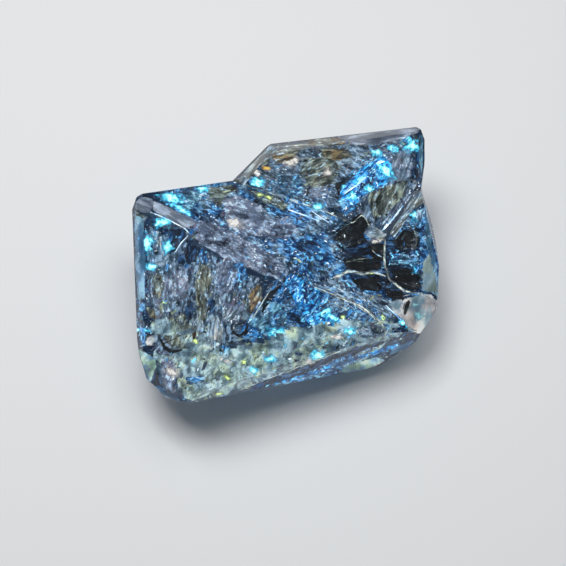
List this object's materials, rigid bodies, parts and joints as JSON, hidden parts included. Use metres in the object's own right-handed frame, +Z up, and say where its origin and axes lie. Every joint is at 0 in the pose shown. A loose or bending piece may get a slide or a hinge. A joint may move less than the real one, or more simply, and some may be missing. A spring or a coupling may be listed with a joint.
{
  "type": "petroleum quartz crystal",
  "caption": "Flattened, doubly ended clear quartz crystal with a second crystal grown on its corner, holding oil, gas and bitumen; lies on its flat back face",
  "frame": {"origin": "under the middle of the outline, at the level of the flat back face that the crystal lies on", "axes": "+X runs along the length of the crystal, towards the end with the second crystal; +Y runs away from the near rim; +Z points up from the flat back face"},
  "size_m": [0.012, 0.0116, 0.0057],
  "materials": {
    "quartz": "clear, faintly blue-grey quartz with bright natural faces and a vitreous shine",
    "oil_inclusions": "wet, glossy petroleum in sealed cavities, glowing blue to cyan and yellow-green",
    "healed_fractures": "silvery blue-grey films on healed fractures inside the crystal",
    "bitumen": "dark brown to black solid bitumen, amber at thin edges"
  },
  "bodies": {
    "root": {"quartz_crystal": "quartz"}
  },
  "joints": []
}
